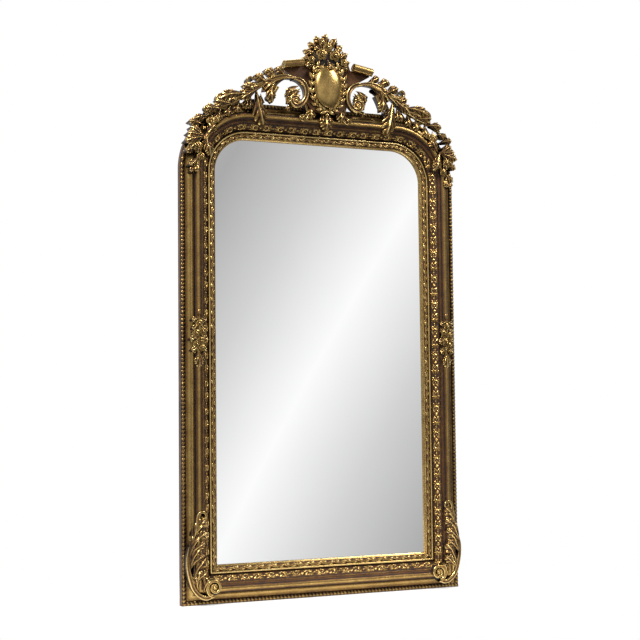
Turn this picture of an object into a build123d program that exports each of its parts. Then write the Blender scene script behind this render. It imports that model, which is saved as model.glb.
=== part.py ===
"""Full-length floor mirror in a carved and gilt frame with a pierced crest.

Millimetres, +Z up. The glass faces -Y and the wall is on the +Y side.
The origin is the middle of the flat foot of the frame.
"""
import os
from math import cos, pi, radians, sin

from build123d import *

os.makedirs("parts", exist_ok=True)

# Driving sizes of the frame
outer_width = 1040.0
rail_height = 1695.0
moulding_width = 128.0
sight_radius = 114.0

# Depths, along Y
foot_depth = 56.0
moulding_side = 25.0
glass_thickness = 4.0
board_thickness = 4.0

# Glass, board and back frame
glass_bite = 8.0
rebate_width = 10.0
back_inset = 12.0

# Crest
crest_back = 22.0
plate_proud = 52.0
cabochon_half_width = 52.0
cabochon_half_height = 73.0
cabochon_rise = 28.0
cabochon_above_rail = 67.0
crown_rise = 258.0

# Hangers
ring_wire = 2.0
ring_slack = 0.05
strap_width = 16.0
strap_gauge = 1.6
hanger_drop = 203.0
strap_length = 44.0

half_width = outer_width / 2
sight_half = half_width - moulding_width
sight_bottom = moulding_width
sight_top = rail_height - moulding_width
outer_radius = sight_radius + moulding_width
spring_x = half_width - outer_radius
spring_z = rail_height - outer_radius
liner_width = 31.0
torus_radius = 10.5
torus_proud = 39.5
torus_line = moulding_width - 52.5
frieze_start = liner_width + 2.0
frieze_end = torus_line - torus_radius - 11.0
frieze_proud = 25.0
leaf_band = 15.0
front_datum = 3.0 - foot_depth / 2
back_plane = foot_depth / 2
moulding_back = moulding_side - foot_depth / 2
glass_front = front_datum + 14.0
glass_back = glass_front + glass_thickness
board_back = glass_back + board_thickness


def y_of(proud):
    """Depth coordinate of a surface standing this far proud of the bead line."""
    return front_datum - proud


def save(shape, name):
    shape.label = name
    export_step(shape, f"parts/{name}.step")


def mirrored(shape):
    return mirror(shape, about=Plane.YZ)


# Mouldings: sections are drawn as distance out from the glass edge, and depth

def moulding_section():
    """Frieze slope, cove, half round, scotia and outer leaf band."""
    w = moulding_width
    inner = torus_line - torus_radius
    outer = torus_line + torus_radius
    shelf = torus_proud - torus_radius
    middle = (frieze_start + frieze_end) / 2 + 1.5
    band = w - leaf_band
    return make_face([
        Line((liner_width, moulding_back), (liner_width, y_of(-1))),
        Line((liner_width, y_of(-1)), (frieze_start, y_of(0))),
        ThreePointArc(
            (frieze_start, y_of(0)), (middle, y_of(14.5)), (frieze_end, y_of(frieze_proud))
        ),
        Line((frieze_end, y_of(frieze_proud)), (frieze_end + 2, y_of(frieze_proud + 1))),
        ThreePointArc(
            (frieze_end + 2, y_of(frieze_proud + 1)), (inner - 4, y_of(26.4)), (inner, y_of(shelf))
        ),
        ThreePointArc((inner, y_of(shelf)), (torus_line, y_of(torus_proud)), (outer, y_of(shelf))),
        Line((outer, y_of(shelf)), (outer, y_of(frieze_proud))),
        Line((outer, y_of(frieze_proud)), (outer + 2.5, y_of(frieze_proud))),
        ThreePointArc(
            (outer + 2.5, y_of(frieze_proud)), (outer + 9.5, y_of(10.5)), (band - 1, y_of(4))
        ),
        Line((band - 1, y_of(4)), (band, y_of(2))),
        ThreePointArc((band, y_of(2)), (w - leaf_band / 2, y_of(6)), (w, y_of(1))),
        Line((w, y_of(1)), (w, moulding_back)),
        Line((w, moulding_back), (liner_width, moulding_back)),
    ])


def liner_section():
    """Slip, carved band and bead next to the glass, rebated behind."""
    return make_face([
        Line((0, glass_front), (0, y_of(-12.5))),
        ThreePointArc((0, y_of(-12.5)), (1.8, y_of(-5.2)), (6, y_of(-2))),
        Line((6, y_of(-2)), (7, y_of(-2))),
        ThreePointArc((7, y_of(-2)), (14, y_of(2)), (21, y_of(-2))),
        ThreePointArc((21, y_of(-2)), (25, y_of(4)), (29, y_of(-2))),
        Line((29, y_of(-2)), (liner_width, y_of(-2))),
        Line((liner_width, y_of(-2)), (liner_width, moulding_back)),
        Line((liner_width, moulding_back), (rebate_width, moulding_back)),
        Line((rebate_width, moulding_back), (rebate_width, glass_front)),
        Line((rebate_width, glass_front), (0, glass_front)),
    ])


def mitre_mask(points):
    """Slab through the whole depth, seen from the front as the given polygon."""
    return extrude(Plane.XZ * make_face(Polyline(points, close=True)), amount=90, both=True)


def moulding_run(section):
    """Left stile, bottom rail, top rail and left corner of one moulding."""
    stile_plane = Plane(origin=(-sight_half, 0, 0), x_dir=(-1, 0, 0), z_dir=(0, 0, -1))
    stile = extrude(stile_plane * section, amount=-spring_z)
    stile &= mitre_mask([
        (-half_width, 0),
        (-sight_half, sight_bottom),
        (-sight_half, spring_z),
        (-half_width, spring_z),
    ])
    bottom_plane = Plane(origin=(-half_width, 0, sight_bottom), x_dir=(0, 0, -1), z_dir=(1, 0, 0))
    bottom = extrude(bottom_plane * section, amount=outer_width)
    bottom &= mitre_mask([
        (-half_width, 0),
        (half_width, 0),
        (sight_half, sight_bottom),
        (-sight_half, sight_bottom),
    ])
    top_plane = Plane(origin=(spring_x, 0, sight_top), x_dir=(0, 0, 1), z_dir=(-1, 0, 0))
    top = extrude(top_plane * section, amount=2 * spring_x)
    corner_plane = Plane(origin=(-sight_half, 0, spring_z), x_dir=(-1, 0, 0), z_dir=(0, 0, -1))
    corner_axis = Axis((-spring_x, 0, spring_z), (0, 1, 0))
    corner = revolve(corner_plane * section, axis=corner_axis, revolution_arc=90)
    return stile, bottom, top, corner


stile, bottom, top, corner = moulding_run(moulding_section())
mouldings = [mirrored(stile), mirrored(corner), top, bottom]
save(stile, "outer_moulding_left")
save(mirrored(stile), "outer_moulding_right")
save(bottom, "outer_moulding_bottom")
save(top, "outer_moulding_top")
save(corner, "outer_moulding_corner_left")
save(mirrored(corner), "outer_moulding_corner_right")

liner_stile, liner_bottom, liner_top, liner_corner = moulding_run(liner_section())
save(liner_stile, "sight_moulding_left")
save(mirrored(liner_stile), "sight_moulding_right")
save(liner_bottom, "sight_moulding_bottom")
save(liner_top, "sight_moulding_top")
save(liner_corner, "sight_moulding_corner_left")
save(mirrored(liner_corner), "sight_moulding_corner_right")


# Glass and board share one outline: square below, rounded above

def arched_panel(bite, back, front):
    wide = sight_half + bite
    low = sight_bottom - bite
    high = sight_top + bite
    radius = sight_radius + bite
    k = radius * (1 - cos(pi / 4))
    outline = make_face([
        Line((-wide, low), (wide, low)),
        Line((wide, low), (wide, high - radius)),
        ThreePointArc((wide, high - radius), (wide - k, high - k), (wide - radius, high)),
        Line((wide - radius, high), (radius - wide, high)),
        ThreePointArc((radius - wide, high), (k - wide, high - k), (-wide, high - radius)),
        Line((-wide, high - radius), (-wide, low)),
    ])
    return extrude(Plane.XZ.offset(-back) * outline, amount=back - front)


save(arched_panel(glass_bite, glass_back, glass_front), "mirror_glass")
save(arched_panel(glass_bite, board_back, glass_back), "backing_board")

# Back frame: flush with the floor below, set in from the edge elsewhere
back_inner = rebate_width + 2
back_outer = moulding_width - back_inset
back_depth = back_plane - moulding_back


def box_between(x0, x1, y0, y1, z0, z1):
    centre = ((x0 + x1) / 2, (y0 + y1) / 2, (z0 + z1) / 2)
    return Pos(*centre) * Box(x1 - x0, y1 - y0, z1 - z0)


def across(x, y, z, radius, length):
    """Cylinder lying front to back and centred on the point."""
    return Pos(x, y, z) * Rot(90, 0, 0) * Cylinder(radius, length)


hanger_x = sight_half + (back_inner + back_outer) / 2
hanger_height = spring_z - hanger_drop
screw_rises = (9.5, 34.0)
screw_shank = 2.0
screw_length = 16.0
back_edge = sight_half + back_outer
back_mouth = sight_half + back_inner
rail_top_of_back = sight_bottom - back_inner
back_bottom = box_between(-back_edge, back_edge, moulding_back, back_plane, 0, rail_top_of_back)
back_stile = box_between(-back_edge, -back_mouth, moulding_back, back_plane, rail_top_of_back, spring_z)
for rise in screw_rises:
    back_stile -= across(
        -hanger_x, back_plane, hanger_height + rise, screw_shank, 2 * screw_length
    )
back_top = box_between(
    -spring_x, spring_x, moulding_back, back_plane, sight_top + back_inner, sight_top + back_outer
)
back_section = make_face(
    Polyline(
        (back_inner, moulding_back),
        (back_outer, moulding_back),
        (back_outer, back_plane),
        (back_inner, back_plane),
        close=True,
    )
)
back_corner = revolve(
    Plane(origin=(-sight_half, 0, spring_z), x_dir=(-1, 0, 0), z_dir=(0, 0, -1)) * back_section,
    axis=Axis((-spring_x, 0, spring_z), (0, 1, 0)),
    revolution_arc=90,
)
save(back_bottom, "back_rail_bottom")
save(back_stile, "back_stile_left")
save(mirrored(back_stile), "back_stile_right")
save(back_top, "back_rail_top")
save(back_corner, "back_corner_left")
save(mirrored(back_corner), "back_corner_right")

# Pine blocks glued in the mouth of the back frame keep the board and glass in
block_length = 60.0
block_reach = 16.0
block_depth = 12.0


def stile_block(z):
    return box_between(
        -back_mouth, -back_mouth + block_reach, board_back, board_back + block_depth,
        z - block_length / 2, z + block_length / 2,
    )


def rail_block(x, z0):
    return box_between(
        x - block_length / 2, x + block_length / 2, board_back, board_back + block_depth,
        z0, z0 + block_reach,
    )


stile_pitch = (spring_z - sight_bottom) / 4
side_blocks = Part() + [stile_block(sight_bottom + stile_pitch * (i + 0.5)) for i in range(4)]
save(side_blocks + mirrored(side_blocks), "glass_blocks_sides")
rail_spots = (-spring_x * 0.7, 0.0, spring_x * 0.7)
end_blocks = Part() + [rail_block(x, sight_top + back_inner - block_reach) for x in rail_spots]
end_blocks += [rail_block(x, rail_top_of_back) for x in rail_spots]
save(end_blocks, "glass_blocks_ends")


# Ornament: everything is drawn on the front elevation as (x, z) and given relief

def slab(outline, back, proud):
    """Prism between two depths, each given as height proud of the bead line."""
    return extrude(Plane.XZ.offset(-y_of(back)) * outline, amount=proud - back)


def bend(x, z, heading, length, curl, t):
    """Point and direction at fraction t of an arc that turns by curl degrees."""
    if abs(curl) < 1:
        a = radians(heading)
        return x + length * t * cos(a), z + length * t * sin(a), a
    radius = length / radians(curl)
    a0 = radians(heading)
    a1 = radians(heading + curl * t)
    return x + radius * (sin(a1) - sin(a0)), z - radius * (cos(a1) - cos(a0)), a1


def leaf_outline(x, z, heading, length, width, curl=0.0, lobes=3, fullness=1.0):
    """Acanthus leaf: rounded lobes that end in points and lean towards the tip."""
    right = []
    left = []
    for side, store in ((-1, right), (1, left)):
        for i in range(lobes):
            t0 = i / lobes
            t1 = (i + 0.55) / lobes
            t2 = (i + 1.05) / lobes if i < lobes - 1 else 1.0
            spread = sin(pi * min(1.0, 0.28 + 0.62 * (i + 0.5) / lobes)) * width / 2
            root = spread * (0.35 if i == 0 else 0.55)
            for t, w in ((t0, root), (t1, spread * fullness), (t2, spread * 0.9)):
                px, pz, a = bend(x, z, heading, length, curl, t)
                if t == 1.0:
                    w = 0.0
                store.append((px - side * w * sin(a), pz + side * w * cos(a)))
    edges = [Line(left[0], right[0])]
    for store in (right, left):
        for i in range(lobes):
            a, b, c = store[3 * i: 3 * i + 3]
            edges.append(ThreePointArc(a, b, c))
            if i < lobes - 1:
                edges.append(Line(c, store[3 * i + 3]))
    return make_face(edges)


def rib_outline(x, z, heading, length, width, curl=0.0):
    """Chiselled midrib that follows the same bend as its leaf."""
    near = []
    far = []
    for t, share in ((0.06, 0.0), (0.35, 1.0), (0.7, 0.8), (1.0, 0.0)):
        px, pz, a = bend(x, z, heading, length, curl, t)
        reach = share * width / 2
        near.append((px + reach * sin(a), pz - reach * cos(a)))
        far.append((px - reach * sin(a), pz + reach * cos(a)))
    return make_face(Polyline(*near, far[2], far[1], close=True))


def laurel_outline(x, z, heading, length, width):
    """Plain pointed leaf with two bowed sides."""
    a = radians(heading)
    tip = (x + length * cos(a), z + length * sin(a))
    middle = (x + length * 0.45 * cos(a), z + length * 0.45 * sin(a))
    right = (middle[0] + width / 2 * sin(a), middle[1] - width / 2 * cos(a))
    left = (middle[0] - width / 2 * sin(a), middle[1] + width / 2 * cos(a))
    return make_face([
        ThreePointArc((x, z), right, tip),
        ThreePointArc(tip, left, (x, z)),
    ])


def leaf(x, z, heading, length, width, back, proud, curl=0.0, lobes=3, rib=5.0):
    """Leaf with its midrib standing up along the middle."""
    blade = slab(leaf_outline(x, z, heading, length, width, curl, lobes), back, proud)
    ridge = slab(rib_outline(x, z, heading, length * 0.9, width * 0.26, curl), back, proud + rib)
    return blade + ridge


def coil(x, z, radius, start, sweep, bar, proud):
    """Round bar bent about (x, z) in the elevation, from start through sweep."""
    a = radians(start)
    mouth = Plane(
        origin=(x + radius * cos(a), y_of(proud), z + radius * sin(a)),
        x_dir=(cos(a), 0, sin(a)),
        z_dir=(-sin(a), 0, cos(a)),
    )
    turn = Axis((x, y_of(proud), z), (0, -1 if sweep > 0 else 1, 0))
    return revolve(mouth * Circle(bar), axis=turn, revolution_arc=abs(sweep))


def hook(x, z, radius, start, sweep, width, back, proud):
    """Flat curled tip: a band of constant width bent about (x, z) with a round end."""
    ends = []
    for part in (0, 0.5, 1):
        a = radians(start + sweep * part)
        ends.append([(x + r * cos(a), z + r * sin(a)) for r in (radius - width / 2, radius + width / 2)])
    (in0, out0), (in1, out1), (in2, out2) = ends
    last = radians(start + sweep)
    turn = 1 if sweep > 0 else -1
    nose = (
        x + radius * cos(last) - turn * width / 2 * sin(last),
        z + radius * sin(last) + turn * width / 2 * cos(last),
    )
    return slab(
        make_face([
            Line(in0, out0),
            ThreePointArc(out0, out1, out2),
            ThreePointArc(out2, nose, in2),
            ThreePointArc(in2, in1, in0),
        ]),
        back, proud,
    )


def bud(x, z, radius, proud):
    return Pos(x, y_of(proud), z) * Sphere(radius)


def rosette(x, z, radius, petals, back, proud):
    """Open flower: round petals about a domed eye."""
    reach = radius * 0.62
    flower = slab(Pos(x, z) * Circle(reach), back, proud)
    for i in range(petals):
        a = 2 * pi * (i + 0.25) / petals
        petal = Pos(x + reach * cos(a), z + reach * sin(a)) * Circle(radius * 0.4)
        flower += slab(petal, back, proud + 2)
    return flower + bud(x, z, radius * 0.32, proud + 2)


def fused(pieces):
    return Part() + pieces


def seated(ornament):
    """Cut the ornament to the face of the mouldings it lies on."""
    return ornament - mouldings


# Cartouche of the crest
scroll_proud = plate_proud + 2
crest_z = rail_height + cabochon_above_rail
plate_top = crest_z + cabochon_half_height + 22

plate_half = [
    (0, crest_z - 94),
    (26, crest_z - 91),
    (60, crest_z - 80),
    (76, crest_z - 58),
    (80, crest_z - 22),
    (96, crest_z + 6),
    (130, crest_z + 29),
    (166, crest_z + 50),
    (166, crest_z + 66),
    (92, crest_z + 66),
    (84, crest_z + 90),
    (0, plate_top),
]
plate_edges = [
    Line(plate_half[0], plate_half[1]),
    ThreePointArc(plate_half[1], plate_half[2], plate_half[3]),
    Line(plate_half[3], plate_half[4]),
    ThreePointArc(plate_half[4], (85, crest_z - 6), plate_half[5]),
    ThreePointArc(plate_half[5], (112, crest_z + 19), plate_half[6]),
    Line(plate_half[6], plate_half[7]),
    Line(plate_half[7], plate_half[8]),
    Line(plate_half[8], plate_half[9]),
    Line(plate_half[9], plate_half[10]),
    Line(plate_half[10], plate_half[11]),
    Line(plate_half[11], plate_half[0]),
]
half_plate = slab(make_face(plate_edges), crest_back, plate_proud)
cartouche = half_plate + mirrored(half_plate)
cartouche = seated(cartouche)
save(cartouche, "cartouche_plate")


def dome_section(angle):
    """Level line of the cabochon: it narrows and rises like a quarter ellipse."""
    t = radians(angle)
    level = plate_proud + 6 + cabochon_rise * sin(t)
    ring = Ellipse(cabochon_half_width * cos(t), cabochon_half_height * cos(t))
    return Plane.XZ.offset(-y_of(level)) * Pos(0, crest_z) * ring


rim = slab(Pos(0, crest_z) * Ellipse(cabochon_half_width, cabochon_half_height),
           plate_proud, plate_proud + 6)
dome = loft([dome_section(angle) for angle in (0, 22, 42, 60, 74, 84)])
cabochon = rim + dome
save(cabochon, "cabochon")

# Rolled ends of the parchment behind the cartouche
roll_length = 76.0
roll = Rot(0, 90, 0) * Cylinder(16, roll_length)
for end in (-1, 1):
    groove = Rot(0, 90, 0) * (Cylinder(12, 8) - Cylinder(8, 8))
    roll -= Pos(end * roll_length / 2, 0, 0) * groove
roll = Pos(133, y_of(plate_proud), crest_z + 66) * roll
roll -= cartouche
save(roll, "crest_roll_right")
save(mirrored(roll), "crest_roll_left")

# C-scroll: main sweep, returning volute and eye, with leaves filling the hollow
scroll_x = 126.0
scroll_z = crest_z - 29
eye_z = crest_z - 60
c_scroll = fused([
    coil(scroll_x, scroll_z, 46, 90, 180, 8, scroll_proud),
    coil(scroll_x, eye_z, 15, 270, 180, 6, scroll_proud),
    bud(scroll_x, eye_z, 8, scroll_proud + 1),
    slab(Pos(scroll_x, eye_z) * Circle(15), crest_back, plate_proud - 3),
    leaf(100, scroll_z + 14, -30, 62, 40, crest_back, plate_proud - 5, curl=-30, lobes=3),
    leaf(96, scroll_z - 8, -34, 52, 30, crest_back, plate_proud - 9, curl=10, lobes=2),
    leaf(108, scroll_z + 19, -14, 56, 24, crest_back, plate_proud - 7, curl=-44, lobes=2),
])
c_scroll = seated(c_scroll - cartouche)
save(c_scroll, "c_scroll_right")
save(mirrored(c_scroll), "c_scroll_left")

# Acanthus arm from the top of the C-scroll down to the shoulder of the frame
arm_z = rail_height
stem = slab(
    make_face([
        ThreePointArc((scroll_x, arm_z + 91), (205, arm_z + 80), (268, arm_z + 40)),
        ThreePointArc((268, arm_z + 40), (352, arm_z + 2), (446, arm_z - 44)),
        Line((446, arm_z - 44), (430, arm_z - 66)),
        ThreePointArc((430, arm_z - 66), (340, arm_z - 28), (252, arm_z + 12)),
        ThreePointArc((252, arm_z + 12), (196, arm_z + 56), (scroll_x, arm_z + 72)),
        Line((scroll_x, arm_z + 72), (scroll_x, arm_z + 91)),
    ]),
    crest_back, plate_proud - 1,
)
arm = fused([
    stem,
    leaf(158, arm_z + 80, 31, 50, 24, crest_back, plate_proud + 3, curl=-6, lobes=3),
    leaf(186, arm_z + 74, 36, 56, 32, crest_back, plate_proud + 1, curl=-6, lobes=3),
    leaf(222, arm_z + 54, 34, 58, 32, crest_back, plate_proud + 5, curl=-10, lobes=3),
    hook(284, arm_z + 62, 13, 205, 200, 9, crest_back, plate_proud - 3),
    leaf(262, arm_z + 26, 18, 56, 30, crest_back, plate_proud + 2, curl=-8, lobes=3),
    leaf(300, arm_z + 12, 3, 100, 34, crest_back, plate_proud + 6, curl=-8, lobes=3),
    hook(398, arm_z - 4, 10, 100, -110, 7, crest_back, plate_proud - 3),
    leaf(352, arm_z - 22, 2, 64, 30, crest_back, plate_proud + 3, curl=0, lobes=3),
    leaf(392, arm_z - 40, -2, 56, 30, crest_back, plate_proud + 7, curl=0, lobes=3),
    leaf(192, arm_z + 72, -52, 74, 36, crest_back, plate_proud + 8, curl=-36, lobes=3),
])
arm = seated(arm)
save(arm, "acanthus_arm_right")
save(mirrored(arm), "acanthus_arm_left")

# Leaves that hang from the arm over the face of the top rail
droop = fused([
    leaf(262, arm_z + 2, -94, 92, 34, 2, plate_proud + 10, curl=-28, lobes=4),
    leaf(246, arm_z + 2, -74, 42, 24, 2, plate_proud + 6, curl=0, lobes=2),
])
droop = seated(droop)
save(droop, "hanging_leaf_right")
save(mirrored(droop), "hanging_leaf_left")

# Feet of the cartouche and the leaf between them
foot = fused([
    leaf(56, arm_z - 4, -92, 52, 36, 2, plate_proud + 4, curl=0, lobes=3),
    coil(88, arm_z - 38, 14, 170, 140, 5, plate_proud + 2),
    slab(Pos(84, arm_z - 40) * Circle(14), 2, plate_proud + 1),
])
foot = seated(foot - cartouche)
save(foot, "foot_scroll_right")
save(mirrored(foot), "foot_scroll_left")
pendant = leaf(0, arm_z - 28, -90, 56, 46, 2, plate_proud + 8, curl=0, lobes=3)
pendant = seated(pendant)
save(pendant, "pendant_leaf")

# Laurel sprays either side of the cabochon, lying on the plate
spray_leaves = []
for i in range(8):
    step = -82 + 15.5 * i
    lean = 16 if i % 2 else -16
    spray_leaves.append(slab(
        laurel_outline(
            63 * cos(radians(step)), crest_z + 83 * sin(radians(step)),
            90 + step * 0.92 + lean, 25, 10,
        ),
        plate_proud, plate_proud + 7 + (i % 2),
    ))
twig = Ellipse(65, 85) - Ellipse(61.5, 81.5)
twig &= Pos(50, -18) * Rectangle(84, 140)
spray_leaves.append(slab(Pos(0, crest_z) * twig, plate_proud, plate_proud + 4))
spray = fused(spray_leaves)
save(spray, "laurel_spray_right")
save(mirrored(spray), "laurel_spray_left")

# Crown of leaves and roses, standing in front of the plate and rising above it
crown_z = crest_z + 98
crown_top = rail_height + crown_rise
crown_parts = [
    leaf(0, crown_z - 4, 90, crown_top - crown_z + 4, 38, plate_proud, plate_proud + 9),
    rosette(24, crown_z + 14, 21, 5, plate_proud, plate_proud + 17),
    rosette(-24, crown_z + 14, 21, 5, plate_proud, plate_proud + 17),
    rosette(0, crown_z + 39, 17, 5, plate_proud, plate_proud + 14),
    slab(Pos(0, crown_z) * Ellipse(40, 22), plate_proud, plate_proud + 11),
]
for heading, length, proud in ((64, 86, 7), (39, 82, 10), (14, 86, 8), (-9, 86, 12)):
    crown_parts.append(
        leaf(0, crown_z, heading, length, 34, plate_proud, plate_proud + proud, curl=8)
    )
    crown_parts.append(
        leaf(0, crown_z, 180 - heading, length, 34, plate_proud, plate_proud + proud, curl=-8)
    )
crown = fused(crown_parts)
save(crown, "flower_crown")

# Garland on the shoulder of the frame
shoulder_x = half_width - 72
shoulder_z = rail_height - 135
garland = fused([
    leaf(shoulder_x, shoulder_z, 36, 56, 28, 2, 44, curl=-6),
    leaf(shoulder_x, shoulder_z, 10, 62, 28, 2, 48, curl=-6),
    leaf(shoulder_x, shoulder_z, -12, 71, 32, 2, 54, curl=-8),
    leaf(shoulder_x, shoulder_z, -38, 70, 30, 2, 45, curl=-8),
    leaf(shoulder_x, shoulder_z + 6, -98, 66, 32, 2, 50, curl=-12),
    leaf(shoulder_x - 6, shoulder_z, 118, 52, 36, 2, 46, curl=16),
    slab(Pos(shoulder_x + 12, shoulder_z - 50) * Rectangle(14, 110), 2, 42),
    rosette(shoulder_x - 22, shoulder_z + 44, 17, 5, 2, 48),
    rosette(shoulder_x + 18, shoulder_z - 36, 18, 5, 2, 51),
    rosette(shoulder_x + 14, shoulder_z - 70, 16, 5, 2, 47),
    leaf(shoulder_x + 16, shoulder_z - 66, -16, 50, 24, 2, 43, curl=-20, lobes=2),
    leaf(shoulder_x + 20, shoulder_z - 82, -84, 54, 24, 2, 46, curl=-8, lobes=2),
])
garland = seated(garland)
save(garland, "shoulder_garland_right")
save(mirrored(garland), "shoulder_garland_left")

# Drop of flowers on the half round of each stile
drop_x = sight_half + torus_line
drop_z = rail_height * 0.565
drop = fused([
    leaf(drop_x, drop_z + 2, -90, 168, 46, 2, 44, lobes=5),
    leaf(drop_x, drop_z - 96, -62, 40, 24, 2, 42, lobes=2),
    leaf(drop_x, drop_z - 96, -118, 40, 24, 2, 42, lobes=2),
    rosette(drop_x, drop_z - 42, 15, 5, 2, 45),
    rosette(drop_x, drop_z - 86, 18, 6, 2, 46),
    rosette(drop_x, drop_z - 124, 15, 5, 2, 45),
    slab(Pos(drop_x, drop_z + 6) * Ellipse(10, 17), 2, 47),
])
drop = seated(drop)
save(drop, "stile_drop_right")
save(mirrored(drop), "stile_drop_left")

# Acanthus and volute at each foot corner
volute_x = half_width - 100
volute_z = 59.0
volute = fused([
    slab(Pos(volute_x, volute_z) * Circle(28), 2, 44),
    slab(Pos(volute_x, volute_z) * (Circle(28) - Pos(1, 0) * Circle(22)), 44, 49),
    bud(volute_x - 2, volute_z, 10, 43),
    coil(volute_x - 4, volute_z, 15, 60, 210, 3.5, 45),
])
volute = seated(volute)
save(volute, "corner_volute_right")
save(mirrored(volute), "corner_volute_left")

sweep_radius = 80.0
sweep_z = volute_z - 25 + sweep_radius
swoop = slab(
    make_face([
        ThreePointArc(
            (volute_x, sweep_z - sweep_radius - 6),
            (volute_x + 62, sweep_z - 60),
            (volute_x + 90, sweep_z),
        ),
        Line((volute_x + 90, sweep_z), (volute_x + 62, sweep_z + 8)),
        ThreePointArc(
            (volute_x + 62, sweep_z + 8),
            (volute_x + 42, sweep_z - 40),
            (volute_x, sweep_z - sweep_radius + 22),
        ),
        Line((volute_x, sweep_z - sweep_radius + 22), (volute_x, sweep_z - sweep_radius - 6)),
    ]),
    2, 42,
)
corner_leaf = fused([
    swoop,
    leaf(volute_x + 76, sweep_z - 8, 94, 186, 54, 2, 46, curl=28, lobes=5),
    leaf(volute_x + 60, sweep_z - 26, 116, 64, 24, 2, 42, curl=12, lobes=2),
    leaf(volute_x + 82, sweep_z + 40, 138, 66, 24, 2, 43, curl=8, lobes=2),
    leaf(volute_x + 82, sweep_z + 66, 130, 84, 26, 2, 44, curl=8, lobes=3),
    leaf(volute_x + 50, sweep_z - 52, 122, 56, 22, 2, 43, curl=10, lobes=2),
])
corner_leaf = seated(corner_leaf - volute)
save(corner_leaf, "corner_acanthus_right")
save(mirrored(corner_leaf), "corner_acanthus_left")

# Pine post and packing behind the crest, with steel plates at the back
post_top = plate_top
post = box_between(-25, 25, moulding_back, back_plane, sight_top + back_outer, post_top - 12)
save(post, "crest_post")
low_packing = box_between(-58, 58, y_of(crest_back), moulding_back, rail_height, rail_height + 50)
high_packing = box_between(-25, 25, y_of(crest_back), moulding_back, crest_z + 28, crest_z + 78)
save(low_packing, "crest_packing_lower")
save(high_packing, "crest_packing_upper")
plate_gauge = 2.0
steel = box_between(
    6, 22, back_plane, back_plane + plate_gauge, rail_height - 72, rail_height + 58
)
for z in (-60, -32, 18, 46):
    steel -= across(14, back_plane, rail_height + z, 2.2, 20)
save(steel + mirrored(steel), "crest_straps")

# Hangers: the ring hangs from the rolled lower end of a strap and turns in it
bore = ring_wire + ring_slack
knuckle = bore + strap_gauge
hinge_y = back_plane + knuckle
screw_head = 3.6

strap = box_between(
    hanger_x - strap_width / 2, hanger_x + strap_width / 2,
    back_plane, back_plane + strap_gauge, hanger_height, hanger_height + strap_length,
)
strap += Pos(hanger_x, hinge_y, hanger_height) * Rot(0, 90, 0) * Cylinder(knuckle, strap_width)
strap -= Pos(hanger_x, hinge_y, hanger_height) * Rot(0, 90, 0) * Cylinder(bore, strap_width + 2)
screws = Part()
for rise in screw_rises:
    z = hanger_height + rise
    shank = screw_length + strap_gauge
    strap -= across(hanger_x, back_plane, z, screw_shank, 12)
    screws += across(hanger_x, back_plane + strap_gauge + 0.9, z, screw_head, 1.8)
    screws += across(hanger_x, back_plane + strap_gauge - shank / 2, z, screw_shank, shank)
save(strap, "hanger_strap_right")
save(mirrored(strap), "hanger_strap_left")
save(screws, "hanger_screws_right")
save(mirrored(screws), "hanger_screws_left")

bar = strap_width / 2 + 0.5
ring_side = bar + 3
ring_path = Wire([
    Line((-bar, 0), (bar, 0)),
    ThreePointArc((bar, 0), (bar + 3 * sin(pi / 4), 3 * cos(pi / 4) - 3), (ring_side, -3)),
    Line((ring_side, -3), (ring_side, -8)),
    ThreePointArc((ring_side, -8), (0, -8 - ring_side), (-ring_side, -8)),
    Line((-ring_side, -8), (-ring_side, -3)),
    ThreePointArc((-ring_side, -3), (-bar - 3 * sin(pi / 4), 3 * cos(pi / 4) - 3), (-bar, 0)),
])
ring_plane = Plane(origin=(hanger_x, hinge_y, hanger_height), x_dir=(1, 0, 0), z_dir=(0, -1, 0))
ring_wire_path = ring_plane * ring_path
ring_section = Plane(origin=(hanger_x, hinge_y, hanger_height), z_dir=(1, 0, 0)) * Circle(ring_wire)
ring = sweep(ring_section, path=ring_wire_path)
save(ring, "hanger_ring_right")
save(mirrored(ring), "hanger_ring_left")

# Rubber feet between the frame and the wall
bumper_depth = 8.0
bumper_radius = 11.0
low_bumper = 70.0
bumper_drop = 20.0
for name, sign in (("left", -1), ("right", 1)):
    pads = Part()
    for z in (low_bumper, spring_z - bumper_drop):
        centre_y = back_plane + bumper_depth / 2
        pads += across(sign * hanger_x, centre_y, z, bumper_radius, bumper_depth)
    save(pads, f"wall_bumpers_{name}")
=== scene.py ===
from math import atan2, cos, degrees, pi, radians, sin, tau

import bpy
import numpy as np
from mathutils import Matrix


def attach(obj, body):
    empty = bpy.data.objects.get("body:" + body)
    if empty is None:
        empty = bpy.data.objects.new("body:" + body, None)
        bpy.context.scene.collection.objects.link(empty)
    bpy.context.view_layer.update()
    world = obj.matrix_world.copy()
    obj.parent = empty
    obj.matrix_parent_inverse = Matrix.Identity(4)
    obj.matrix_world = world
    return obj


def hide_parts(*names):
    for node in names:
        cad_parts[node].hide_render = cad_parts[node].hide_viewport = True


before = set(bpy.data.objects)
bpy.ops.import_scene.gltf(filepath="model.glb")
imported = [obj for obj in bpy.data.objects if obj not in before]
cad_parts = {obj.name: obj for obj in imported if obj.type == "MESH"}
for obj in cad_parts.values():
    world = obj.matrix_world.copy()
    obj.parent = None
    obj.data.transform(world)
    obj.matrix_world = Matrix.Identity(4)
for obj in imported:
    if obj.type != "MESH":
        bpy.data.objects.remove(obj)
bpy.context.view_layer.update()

# The ornament is worked out in millimetres on the front elevation (x, z). Its relief is the height
# proud of the bead line beside the glass. Ornaments are made on the right and mouldings on the left,
# and both are mirrored to the other side.

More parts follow.
